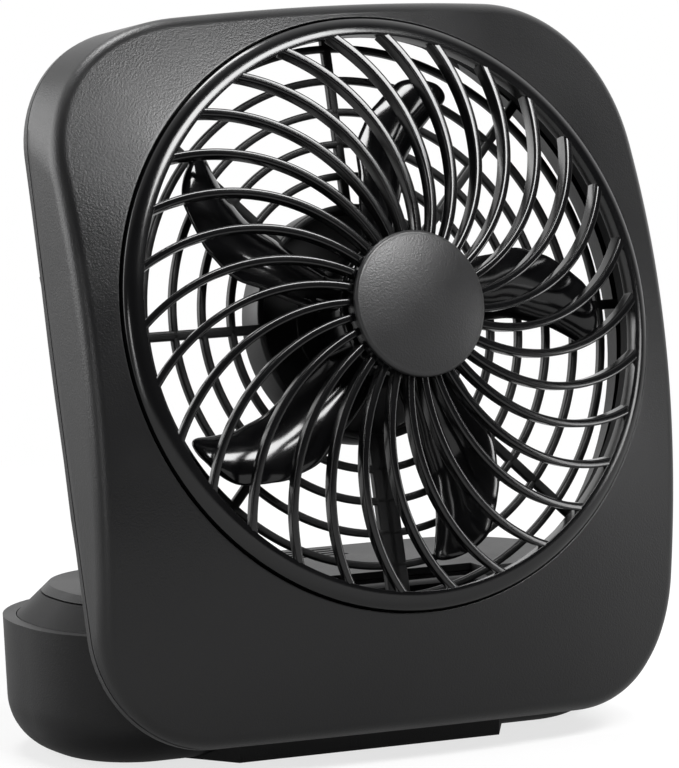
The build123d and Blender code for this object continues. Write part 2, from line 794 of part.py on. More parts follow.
with BuildPart() as cover_blank:
    lip_plane = Plane.XY.offset(base_lip_height)
    extrude(base_outline(lip_plane, cover_inset), amount=deck_height - base_lip_height, taper=plateau_flank)
    extrude(base_outline(lip_plane, cover_inset), amount=-cover_skirt)

with BuildPart() as cover_bosses:
    boss_foot = base_post_top + seat_clearance
    with BuildSketch(Plane.XY.offset(boss_foot)):
        with Locations(*base_post_places()):
            Circle(base_boss_radius)
    extrude(amount=deck_height - cover_wall / 2 - boss_foot)

with BuildPart() as cover_limit:
    add(cover_blank.part)
    extrude(base_outline(lip_plane, cover_inset), amount=-base_lip_height)

with BuildPart() as base_top_cover:
    add(cover_blank.part)
    core_inset = cover_inset + cover_wall
    core_rise = deck_height - cover_wall - base_lip_height
    extrude(base_outline(lip_plane, core_inset), amount=core_rise, taper=plateau_flank, mode=Mode.SUBTRACT)
    extrude(base_outline(lip_plane, core_inset), amount=-cover_skirt, mode=Mode.SUBTRACT)
    add(cover_bosses.part.intersect(cover_limit.part))
    with BuildSketch(Plane.XY.offset(base_lip_height - lip_thickness - seat_clearance)):
        for side in (-1, 1):
            with Locations((side * hook_x, base_rear - cover_inset + (hook_reach - cover_wall) / 2)):
                Rectangle(hook_width, cover_wall + hook_reach)
    extrude(amount=-hook_height)
    with BuildSketch(lip_plane):
        with Locations((0, cell_shift)):
            Rectangle(2 * bay_half_width, 2 * bay_half_depth)
    extrude(amount=plateau_rise, both=True, mode=Mode.SUBTRACT)
    with BuildSketch(lip_plane):
        with Locations((0, trough_rear - notch_depth / 2)):
            Rectangle(2 * notch_half_width, notch_depth)
    extrude(amount=plateau_rise, both=True, mode=Mode.SUBTRACT)
    with BuildSketch(Plane.XY):
        with Locations(*base_post_places()):
            Circle(screw_radius + seat_clearance)
    extrude(amount=base_post_top + screw_bite + overrun, mode=Mode.SUBTRACT)
finish(base_top_cover, "base_top_cover")

# Battery lid: slab that completes the plateau, held by two tongues under the deck
with BuildPart() as battery_lid:
    lid_foot = deck_height + lid_gap
    lid_plane = Plane.XY.offset(lid_foot)
    lid_inset = cover_inset + (lid_foot - base_lip_height) * flank_slope
    extrude(base_outline(lid_plane, lid_inset), amount=lid_thickness, taper=plateau_flank)
    with BuildSketch(lid_plane):
        with Locations((0, trough_rear - notch_depth / 2)):
            Rectangle(2 * notch_half_width, notch_depth)
    extrude(amount=lid_thickness, mode=Mode.SUBTRACT)
    leg_front = cell_shift - bay_half_depth + moving_gap
    tongue_top = deck_height - cover_wall - moving_gap
    for side in (-1, 1):
        tongue_x = side * (tongue_inset + tongue_width / 2)
        with BuildSketch(Plane.XY.offset(tongue_top - tongue_thickness)):
            with Locations((tongue_x, leg_front + tongue_leg / 2)):
                Rectangle(tongue_width, tongue_leg)
        extrude(amount=lid_foot + lid_thickness / 2 - tongue_top + tongue_thickness)
        with BuildSketch(Plane.XY.offset(tongue_top - tongue_thickness)):
            with Locations((tongue_x, leg_front - (tongue_reach - tongue_leg) / 2)):
                Rectangle(tongue_width, tongue_reach + tongue_leg)
        extrude(amount=tongue_thickness)
    with BuildSketch(Plane.XY.offset(plateau_height)):
        for ridge in range(grip_count):
            with Locations((0, base_rear - grip_setback - ridge * grip_pitch)):
                Rectangle(grip_length, grip_width)
    extrude(amount=-grip_depth, mode=Mode.SUBTRACT)
finish(battery_lid, "battery_lid")

# Cells, contacts and fittings of the base
for cell_name, cell_start in (
    ("battery_cell_left", -cell_length - seat_clearance),
    ("battery_cell_right", 0),
):
    with BuildPart() as cell:
        with BuildSketch(Plane.YZ.offset(cell_start)):
            with Locations((cell_shift, cell_axis_height)):
                Circle(cell_radius)
        extrude(amount=cell_length - cell_nub_length)
        with BuildSketch(Plane.YZ.offset(cell_start)):
            with Locations((cell_shift, cell_axis_height)):
                Circle(cell_nub_radius)
        extrude(amount=cell_length)
    finish(cell, cell_name)

for contact_name, side in (("contact_leaf_left", -1), ("contact_leaf_right", 1)):
    with BuildPart() as contact_leaf:
        leaf_back = bay_half_width - seat_clearance
        with BuildSketch(Plane.YZ.offset(side * leaf_back)):
            with Locations((cell_shift, cell_axis_height)):
                Rectangle(contact_width, contact_height)
        extrude(amount=-side * contact_thickness)
        with BuildSketch(Plane.YZ.offset(side * leaf_back)):
            with Locations((cell_shift, cell_axis_height)):
                Circle(contact_button)
        extrude(amount=-side * (leaf_back - cell_length - 2 * seat_clearance))
    finish(contact_leaf, contact_name)

with BuildPart() as hinge_pins:
    for side in (-1, 1):
        with BuildSketch(Plane.YZ.offset(side * cheek_outer)):
            with Locations((hinge_y, hinge_height)):
                Circle(hinge_pin_radius)
        extrude(amount=-side * (cheek_outer - knuckle_half + hinge_pin_grip))
finish(hinge_pins, "hinge_pins")

with BuildPart() as base_screws:
    with BuildSketch(Plane.XY.offset(base_post_sink)):
        with Locations(*base_post_places()):
            Circle(screw_head_radius)
    extrude(amount=-screw_head_height)
    with BuildSketch(Plane.XY.offset(base_post_sink)):
        with Locations(*base_post_places()):
            Circle(screw_radius)
    extrude(amount=base_post_top - base_post_sink + screw_bite)
finish(base_screws, "base_screws")

with BuildPart() as circuit_board:
    with BuildSketch(Plane.XY.offset(board_height)):
        with Locations((board_end - board_length / 2, board_y)):
            RectangleRounded(board_length, board_width, board_corner)
    extrude(amount=board_thickness)
finish(circuit_board, "circuit_board")

with BuildPart() as charge_port:
    port_middle = (board_y, board_top + port_height / 2)
    with BuildSketch(Plane.YZ.offset(port_mouth - port_length)):
        with Locations(port_middle):
            RectangleRounded(port_width, port_height, port_height / 2 - port_flat)
    extrude(amount=port_length)
    with BuildSketch(Plane.YZ.offset(port_mouth)):
        with Locations(port_middle):
            bore_height = port_height - 2 * port_wall
            RectangleRounded(port_width - 2 * port_wall, bore_height, bore_height / 2 - port_flat)
    extrude(amount=-(port_length - port_back), mode=Mode.SUBTRACT)
    with BuildSketch(Plane.YZ.offset(port_mouth - port_length)):
        with Locations(port_middle):
            Rectangle(port_width - port_height, port_tongue)
    extrude(amount=port_length - port_back)
finish(charge_port, "charge_port")

with BuildPart() as switch_body:
    with BuildSketch(Plane.XZ.offset(-switch_face)):
        with Locations((0, switch_height)):
            Rectangle(switch_length, switch_tall)
    extrude(amount=switch_depth)
finish(switch_body, "switch_body")

with BuildPart() as switch_knob:
    with BuildSketch(Plane.XZ.offset(-switch_face - moving_gap)):
        with Locations((0, switch_height)):
            Rectangle(knob_length + 2 * knob_flange, knob_tall + knob_flange)
    extrude(amount=-knob_flange_thickness)
    with BuildSketch(Plane.XZ.offset(-switch_face - moving_gap)):
        with Locations((0, switch_height)):
            Rectangle(knob_length, knob_tall)
    extrude(amount=-(switch_wall + base_wall + knob_proud - switch_face - moving_gap))
    for ridge in (-1, 0, 1):
        with BuildSketch(Plane.XZ.offset(-switch_wall - base_wall - knob_proud)):
            with Locations((ridge * knob_length / 3, switch_height)):
                Rectangle(knob_groove, knob_tall)
        extrude(amount=knob_groove, mode=Mode.SUBTRACT)
finish(switch_knob, "switch_knob")
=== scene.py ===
"""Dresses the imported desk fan: moulded surfaces worked out with numpy, finishes, studio and camera.

Sizes in the classes are millimetres, and metres for the lamps. Meshes are written in metres, in the frame
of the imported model.
"""
import json
import logging
from dataclasses import dataclass, replace
from enum import Enum
from math import atan2, cos, hypot, pi, radians, sin, sqrt, tan

import bmesh
import bpy
import numpy as np
from bpy.types import Material, Node, NodeTree
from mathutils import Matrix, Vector


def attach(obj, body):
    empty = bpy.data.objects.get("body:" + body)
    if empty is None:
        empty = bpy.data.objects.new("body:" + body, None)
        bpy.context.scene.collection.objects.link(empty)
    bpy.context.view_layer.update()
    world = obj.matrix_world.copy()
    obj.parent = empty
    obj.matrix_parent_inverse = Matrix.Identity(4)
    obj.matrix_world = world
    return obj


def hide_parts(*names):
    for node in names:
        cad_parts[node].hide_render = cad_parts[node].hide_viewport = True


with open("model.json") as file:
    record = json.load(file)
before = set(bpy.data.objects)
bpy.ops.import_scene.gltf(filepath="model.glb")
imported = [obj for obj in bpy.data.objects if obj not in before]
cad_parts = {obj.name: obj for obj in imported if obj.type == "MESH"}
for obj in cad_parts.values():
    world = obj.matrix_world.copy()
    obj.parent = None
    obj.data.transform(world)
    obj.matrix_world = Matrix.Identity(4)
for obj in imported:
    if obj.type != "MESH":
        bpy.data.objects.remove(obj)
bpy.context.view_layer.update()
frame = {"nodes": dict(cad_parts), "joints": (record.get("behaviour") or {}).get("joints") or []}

Array = np.ndarray
MM = 0.001
RIGHT = np.array((1.0, 0.0, 0.0))
NOISE_LOW, NOISE_HIGH = 0.3, 0.7  # most of a noise texture's values lie between these
CORNER_SHARE = 0.49  # share of a side that one corner's curve may take up
LEDGE_RADIUS, LEDGE_DEPTH = 64.5, 3.0  # ledge in the shell's opening that the grille's rim sits on
LOG = logging.getLogger("desk_fan")


class Body(Enum):
    """The moving bodies that the shaped pieces ride on."""

    HEAD = "head"
    ROTOR = "rotor"


def linear(code: str) -> tuple[float, float, float, float]:
    """Turns an sRGB hex colour into linear red, green, blue and alpha.

    Args:
        code: Six hex digits.

    Returns:
        The linear colour with an alpha of one.
    """
    channels = np.array([int(code[i:i + 2], 16) for i in (0, 2, 4)]) / 255.0
    curve = np.where(channels <= 0.04045, channels / 12.92, ((channels + 0.055) / 1.055) ** 2.4)
    return (*(float(c) for c in curve), 1.0)


def add_node(tree: NodeTree, kind: str, settings: dict | None = None, links: dict | None = None) -> Node:
    """Adds one node with its settings and links.

    Args:
        tree: The node tree that gets the node.
        kind: Blender's type name of the node.
        settings: Attributes by their name, or input values by their name or number.
        links: By the input that it feeds, an output socket, or a node for its first output.

    Returns:
        The new node.
    """
    node = tree.nodes.new(kind)
    for key, value in (settings or {}).items():
        if isinstance(key, str) and hasattr(node, key):
            setattr(node, key, value)
        else:
            node.inputs[key].default_value = value
    for key, source in (links or {}).items():
        socket = source.outputs[0] if isinstance(source, Node) else source
        tree.links.new(socket, node.inputs[key])
    return node


def new_tree(name: str) -> tuple[Material, NodeTree]:
    """Makes an empty node material.

    Args:
        name: The material's name.

    Returns:
        The material and its cleared tree.
    """
    material = bpy.data.materials.new(name)
    material.use_nodes = True
    material.node_tree.nodes.clear()
    return material, material.node_tree


@dataclass(frozen=True)
class Finish:
    """What all finishes share: a name, two tones that a pattern mixes, and a middle roughness."""

    name: str
    colour: str
    bloom: str
    roughness: float

    def join(self, tree: NodeTree, pattern: Node, settings: dict, links: dict) -> None:
        """Mixes the two tones by the pattern and joins shader and output.

        Args:
            tree: The material's tree.
            pattern: The noise that mixes the tones.
            settings: The shader's settings.
            links: The shader's links, apart from its colour.
        """
        tones = {"data_type": "RGBA", 6: linear(self.colour), 7: linear(self.bloom)}
        tint = add_node(tree, "ShaderNodeMix", tones, {0: pattern})
        links = links | {"Base Color": tint.outputs[2]}
        shader = add_node(tree, "ShaderNodeBsdfPrincipled", settings, links)
        add_node(tree, "ShaderNodeOutputMaterial", links={"Surface": shader})


@dataclass(frozen=True)
class Plastic(Finish):
    """Moulded or pressed plastic, with the grain of its tool and a broad, uneven sheen."""

    grain_mm: float
    relief_mm: float
    spread: float = 0.05
    specular: float = 0.5
    ior: float = 1.53
    patch_mm: float = 22.0
    grain_detail: float = 3.0
    patch_detail: float = 4.0
    # The last three fields paint shade: the specular level falls inside a radius about the fan axis, on the
    # recessed wall round the blades.
    shade_well_mm: float = 0.0
    shade_well_fade_mm: float = 0.3
    shade_well_share: float = 0.1

    def painted_shade_level(self, tree: NodeTree, axes: "HeadFrame") -> Node:
        """Gives the specular level as painted shade: it falls to a share inside a radius about the fan axis.

        The radius is the length of the cross product of the axis and the way from its origin.

        Args:
            tree: The material's tree.
            axes: The fan's axes.

        Returns:
            The level's node.
        """
        here = add_node(tree, "ShaderNodeTexCoord").outputs["Object"]
        origin, out = (axes.origin * MM).tolist(), axes.out.tolist()
        away = add_node(tree, "ShaderNodeVectorMath", {"operation": "SUBTRACT", 1: origin}, {0: here})
        arm = add_node(tree, "ShaderNodeVectorMath", {"operation": "CROSS_PRODUCT", 1: out}, {0: away})
        radius = add_node(tree, "ShaderNodeVectorMath", {"operation": "LENGTH"}, {0: arm})
        span = {"From Min": (self.shade_well_mm - self.shade_well_fade_mm) * MM, "From Max": self.shade_well_mm * MM}
        levels = {"To Min": self.shade_well_share * self.specular, "To Max": self.specular}
        return add_node(tree, "ShaderNodeMapRange", span | levels, {"Value": radius.outputs["Value"]})

    def build(self, axes: "HeadFrame") -> Material:
        """Makes the material: grain as bump, and broad patches in colour and roughness.

        Args:
            axes: The fan's axes, for a finish with painted shade round the blades.

        Returns:
            The finished material.
        """
        material, tree = new_tree(self.name)
        where = {"Vector": add_node(tree, "ShaderNodeTexCoord").outputs["Object"]}
        fine = {"Scale": 1.0 / (self.grain_mm * MM), "Detail": self.grain_detail}
        grain = add_node(tree, "ShaderNodeTexNoise", fine, where)
        broad = {"Scale": 1.0 / (self.patch_mm * MM), "Detail": self.patch_detail}
        patch = add_node(tree, "ShaderNodeTexNoise", broad, where)
        span = {"From Min": NOISE_LOW, "From Max": NOISE_HIGH}
        levels = {"To Min": self.roughness - self.spread, "To Max": self.roughness + self.spread}
        sheen = add_node(tree, "ShaderNodeMapRange", span | levels, {"Value": patch})
        relief = add_node(tree, "ShaderNodeBump", {"Distance": self.relief_mm * MM}, {"Height": grain})
        links = {"Roughness": sheen, "Normal": relief}
        # Painted shade: a lower specular level inside the radius round the blades.
        if self.shade_well_mm:
            links["Specular IOR Level"] = self.painted_shade_level(tree, axes)
        self.join(tree, patch, {"IOR": self.ior, "Specular IOR Level": self.specular}, links)
        return material


@dataclass(frozen=True)
class Stock(Finish):
    """Stock with fine lines along one axis, from drawing, grinding or shrinking, that vary its roughness."""

    line_mm: float = 0.5
    metallic: float = 1.0
    stretch: float = 0.06
    spread_share: float = 0.3
    relief_mm: float = 0.02
    relief_strength: float = 0.4
    detail: float = 4.0

    def build(self) -> Material:
        """Makes the material: noise stretched along one axis, as lines in colour, roughness and bump.

        Returns:
            The finished material.
        """
        material, tree = new_tree(self.name)
        here = add_node(tree, "ShaderNodeTexCoord").outputs["Object"]
        drawn = add_node(tree, "ShaderNodeMapping", {"Scale": (self.stretch, 1.0, 1.0)}, {"Vector": here})
        fine = {"Scale": 1.0 / (self.line_mm * MM), "Detail": self.detail}
        lines = add_node(tree, "ShaderNodeTexNoise", fine, {"Vector": drawn})
        low, high = self.roughness * (1 - self.spread_share), self.roughness * (1 + self.spread_share)
        sheen = add_node(tree, "ShaderNodeMapRange", {"To Min": low, "To Max": high}, {"Value": lines})
        depth = {"Distance": self.relief_mm * MM, "Strength": self.relief_strength}
        relief = add_node(tree, "ShaderNodeBump", depth, {"Height": lines})
        self.join(tree, lines, {"Metallic": self.metallic}, {"Roughness": sheen, "Normal": relief})
        return material


class Finishes:
    """Every finish of the fan, built once. Grains too fine for the picture are drawn coarser, to show."""

    def __init__(self, axes: "HeadFrame") -> None:
        """Builds the finishes.

        Args:
            axes: The fan's axes, from which the shells measure their ring of painted shade.
        """
        # Eroded tool: fine pebbles break up a wide soft highlight.
        # Round the blades, a lower specular level paints shade on the recessed wall.
        shell = Plastic(
            "abs_eroded_black", "0e0e0f", "131314",
            roughness=0.34, grain_mm=0.42, relief_mm=0.055, specular=0.42, shade_well_mm=67.2,
        )
        self.shell = shell.build(axes)
        # The same texture on the back half, whose ring of painted shade is wider.
        self.back = replace(shell, name="abs_eroded_black_back", shade_well_mm=73.6).build(axes)
        # Rougher erosion on the base: a flatter, greyer sheen.
        base = replace(shell, name="abs_eroded_black_base", roughness=0.46, specular=0.3, shade_well_mm=0.0)
        self.base = base.build(axes)
        # Blasted tool: hardly a highlight, so the chamfer looks darker than the tray.
        cover = replace(base, name="abs_dull_black", colour="0a0a0b", bloom="0e0e0f", roughness=0.5)
        self.cover = replace(cover, specular=0.16).build(axes)
        # Satin tool: thin bright lines along the bars' rounded edges.
        grille = Plastic(
            "abs_satin_black", "080809", "0c0c0d",
            roughness=0.17, grain_mm=1.2, relief_mm=0.006, spread=0.04,
        )
        self.grille = grille.build(axes)
        # Finer erosion: a soft light patch at the cap's top that fades over its dome.
        cap = Plastic(
            "abs_fine_eroded_black", "111112", "161617",
            roughness=0.38, grain_mm=0.40, relief_mm=0.055, specular=0.62,
        )
        self.cap = cap.build(axes)
        # Polished tool: deep black blades with sharp, slightly wavy reflections.
        rotor = Plastic(
            "abs_polished_black", "060607", "09090a",
            roughness=0.13, grain_mm=4.0, relief_mm=0.006, spread=0.04,
        )
        self.rotor = rotor.build(axes)
        # Plain machined tool: an even dark grey with little shine.
        guard = Plastic(
            "abs_plain_black", "09090a", "0c0c0d",
            roughness=0.40, grain_mm=0.8, relief_mm=0.02, specular=0.35,
        )
        self.guard = guard.build(axes)
        # Moulded acetal: waxy, and a touch paler than the casing.
        switch = Plastic(
            "acetal_plain_black", "131314", "1b1b1c",
            roughness=0.38, grain_mm=0.8, relief_mm=0.02, spread=0.06,
        )
        self.switch = switch.build(axes)
        # Solder mask over pressed glass cloth: a glassy green.
        laminate = Plastic(
            "solder_masked_laminate", "12492a", "185a35",
            roughness=0.34, grain_mm=0.6, relief_mm=0.01,
        )
        self.laminate = laminate.build(axes)
        # Zinc plate on drawn steel: a cool bright metal with faint lines.
        self.steel = Stock("zinc_plated_steel", "b4b6b8", "d0d2d4", roughness=0.30).build()
        # Black zinc on cold-headed steel: a smoky dark metal.
        self.screws = Stock("black_zinc_steel", "3a3a3c", "505052", roughness=0.38).build()
        # Nickel plate on rolled strip: a warm bright metal.
        self.nickel = Stock("nickel_plated_strip", "c8c2b4", "ddd8cc", roughness=0.24, line_mm=0.4).build()
        # Sintered bronze: a dull golden metal.
        self.bronze = Stock("sintered_bronze", "9a7442", "b48a54", roughness=0.42).build()
        # Ground ferrite: a flat charcoal with grinding lines.
        self.ferrite = Stock("ground_ferrite", "2c2a2a", "393737", roughness=0.55, metallic=0.0).build()
        # Enamelled copper wire: a warm red metal.
        self.copper = Stock("enamelled_copper", "a85f38", "c4764a", roughness=0.30, line_mm=0.4).build()
        # Shrunk sleeve: green film with long soft streaks of shine.
        sleeve = Stock("shrink_sleeve_green", "3f6b4a", "4b7a57", roughness=0.30, line_mm=4.0, metallic=0.0)
        self.sleeve = sleeve.build()


class MeshDraft:
    """Gathers grids of points, in millimetres, into one mesh."""

    def __init__(self) -> None:
        """Starts with no points and no faces."""
        self.points: list[Array] = []
        self.faces: list[Array] = []
        self.total = 0

    def sheet(self, grid: Array, close_rows: bool = False) -> Array:
        """Adds a grid of points whose rows are closed rings, and joins neighbours with quads.

        Args:
            grid: Points, rows by columns by three.
            close_rows: True if the last row joins the first.

        Returns:
            The number of each point, rows by columns.
        """
        rows, columns = grid.shape[:2]
        numbers = self.total + np.arange(rows * columns).reshape(rows, columns)
        ahead = np.roll(numbers, -1, axis=0)
        quads = np.stack([numbers, np.roll(numbers, -1, axis=1), np.roll(ahead, -1, axis=1), ahead], axis=-1)
        quads = quads[: rows if close_rows else rows - 1]
        self.points.append(grid.reshape(-1, 3))
        self.faces.append(quads.reshape(-1, 4))
        self.total += rows * columns
        return numbers

    def cap(self, ring: Array, centre: Array) -> None:
        """Closes a ring of points with triangles to a centre.

        Args:
            ring: The numbers of the ring's points, in order.
            centre: The point that the triangles meet in.
        """
        self.points.append(np.asarray(centre, float).reshape(1, 3))
        hub = np.full(len(ring), self.total)
        self.faces.append(np.stack([ring, np.roll(ring, -1), hub], axis=-1))
        self.total += 1

    def tube(self, grid: Array) -> None:
        """Adds a grid whose rows are closed rings, and caps both ends at their middles.

        Args:
            grid: Points, rows by columns by three.
        """
        numbers = self.sheet(grid)
        self.cap(numbers[0], grid[0].mean(axis=0))
        self.cap(numbers[-1], grid[-1].mean(axis=0))

    def build(self, node: str, material: Material, body: Body, slot: str, crease: float = 40.0) -> None:
        """Writes the mesh in metres, turns its faces outwards and sets it on its body.

        Args:
            node: The CAD node that it stands for, which gives it its name.
            material: Its finish.
            body: The body that it rides on.
            slot: The record's material slot. Not used.
            crease: Edges sharper than this angle, in degrees, stay sharp.
        """
        name = f"{node}_moulding"
        mesh = bpy.data.meshes.new(name)
        faces = [face for block in self.faces for face in block.tolist()]
        mesh.from_pydata((np.concatenate(self.points) * MM).tolist(), [], faces)
        shaped = bmesh.new()
        shaped.from_mesh(mesh)
        bmesh.ops.recalc_face_normals(shaped, faces=shaped.faces)
        shaped.to_mesh(mesh)
        shaped.free()
        mesh.shade_smooth()
        mesh.set_sharp_from_angle(angle=radians(crease))
        mesh.materials.append(material)
        piece = bpy.data.objects.new(name, mesh)
        bpy.context.scene.collection.objects.link(piece)
        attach(piece, body.value)
        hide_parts(node)
        LOG.info("%s: %d faces", name, len(faces))


def box(left: float, right: float, low: float, high: float) -> Array:
    """Gives the four corners of a box, in order."""
    return np.array([(left, low), (right, low), (right, high), (left, high)])


def soften(corners: Array, reach: Array | float, steps: int = 5) -> Array:
    """Rounds the corners of a closed outline.

    Each corner becomes a quadratic curve from a point one reach back along one side to a point one reach
    along the other. The reach is held under half of either side.

    Args:
        corners: The outline's corners, in order.
        reach: How far each curve goes along its sides.
        steps: Points on each curve.

    Returns:
        The rounded outline's points, in order.
    """
    before, after = np.roll(corners, 1, axis=0) - corners, np.roll(corners, -1, axis=0) - corners
    length_before = np.linalg.norm(before, axis=1, keepdims=True)
    length_after = np.linalg.norm(after, axis=1, keepdims=True)
    limit = CORNER_SHARE * np.minimum(length_before, length_after)
    reach = np.minimum(np.broadcast_to(np.reshape(reach, (-1, 1)), limit.shape), limit)
    start, end = corners + before / length_before * reach, corners + after / length_after * reach
    share = np.linspace(0.0, 1.0, steps)[None, :, None]
    middle = corners[:, None] * 2 * share * (1 - share)
    curve = start[:, None] * (1 - share) ** 2 + middle + end[:, None] * share**2
    return curve.reshape(-1, corners.shape[1])


@dataclass(frozen=True)
class HeadFrame:
    """The fan's own axes: u right, v up the face, w out of it, from the fan axis at the grille's groove."""

    origin: Array
    up: Array
    out: Array

    @classmethod
    def from_joint(cls) -> "HeadFrame":
        """Reads the fan axis from the joint that the rotor turns on.

        Returns:
            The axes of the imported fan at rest.
        """
        spin = next(joint for joint in frame["joints"] if joint["name"] == "rotor_spin")
        out = np.array(spin["axis"], float)
        return cls(np.array(spin["pos_m"], float) / MM, np.cross(out, RIGHT), out)

    def place(self, u: Array, v: Array, w: Array, turn: float = 0.0) -> Array:
        """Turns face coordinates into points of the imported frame.

        Args:
            u: Distances to the right.
            v: Distances up the face.
            w: Distances out of the face.
            turn: Angle about the fan axis that all are turned by.

        Returns:
            The points, with one more axis than the coordinates.
        """
        u, v, w = np.broadcast_arrays(u, v, w)
        right = cos(turn) * RIGHT + sin(turn) * self.up
        up = cos(turn) * self.up - sin(turn) * RIGHT
        return self.origin + u[..., None] * right + v[..., None] * up + w[..., None] * self.out

    def revolve(self, profile: Array, columns: int = 192) -> Array:
        """Turns a profile of radius and height about the fan axis.

        Args:
            profile: Radius and height of each point.
            columns: Points round the turn.

        Returns:
            A grid of points, one row for each point of the profile.
        """
        turn = np.linspace(0.0, 2 * pi, columns, endpoint=False)
        radius, height = profile[:, :1], profile[:, 1:]
        return self.place(radius * np.cos(turn), radius * np.sin(turn), height)


@dataclass(frozen=True)
class HeadOutline:
    """Outline of the head: four slightly bowed sides that round corners join."""

    half_width: float = 75.38
    top: float = 71.38
    bottom: float = 92.68
    bulge: float = 0.5
    corner: float = 28.0
    per_side: int = 60
    per_corner: int = 48

    def sample(self) -> tuple[Array, Array]:
        """Works out points and outward normals, anticlockwise.

        Each side is a circle through its ends and its bowed middle. A corner's centre lies its own radius
        inside both neighbouring circles. The second half is the first, turned by half a turn.

        Returns:
            Points and unit normals, each as rows of u and v.
        """
        middle = (self.top - self.bottom) / 2
        chord_side = (self.top + self.bottom) / 2 - self.bulge
        chord_end = self.half_width - self.bulge
        side = (chord_side**2 + self.bulge**2) / (2 * self.bulge)
        end = (chord_end**2 + self.bulge**2) / (2 * self.bulge)
        side_centre = np.array((self.half_width - side, 0.0))
        end_centre = np.array((0.0, self.top - middle - end))
        apart = end_centre - side_centre
        span = np.linalg.norm(apart)
        along = (span**2 + (side - self.corner) ** 2 - (end - self.corner) ** 2) / (2 * span)
        across = sqrt((side - self.corner) ** 2 - along**2)
        unit = apart / span
        aside = across * np.array((-unit[1], unit[0]))
        corner = max((side_centre + along * unit + turn * aside for turn in (-1, 1)), key=np.sum)
        first = atan2(corner[1] - side_centre[1], corner[0] - side_centre[0])
        last = atan2(corner[1] - end_centre[1], corner[0] - end_centre[0])
        arcs = [
            (side_centre, side, -first, first, self.per_side),
            (corner, self.corner, first, last, self.per_corner),
            (end_centre, end, last, pi - last, self.per_side),
            (corner * (-1, 1), self.corner, pi - last, pi - first, self.per_corner),
        ]
        points, normals = [], []
        for centre, radius, start, stop, count in arcs:
            turn = np.linspace(start, stop, count, endpoint=False)
            normal = np.stack([np.cos(turn), np.sin(turn)], axis=-1)
            points.append(centre + radius * normal)
            normals.append(normal)
        half, facing = np.concatenate(points), np.concatenate(normals)
        return np.concatenate([half, -half]) + (0.0, middle), np.concatenate([facing, -facing])


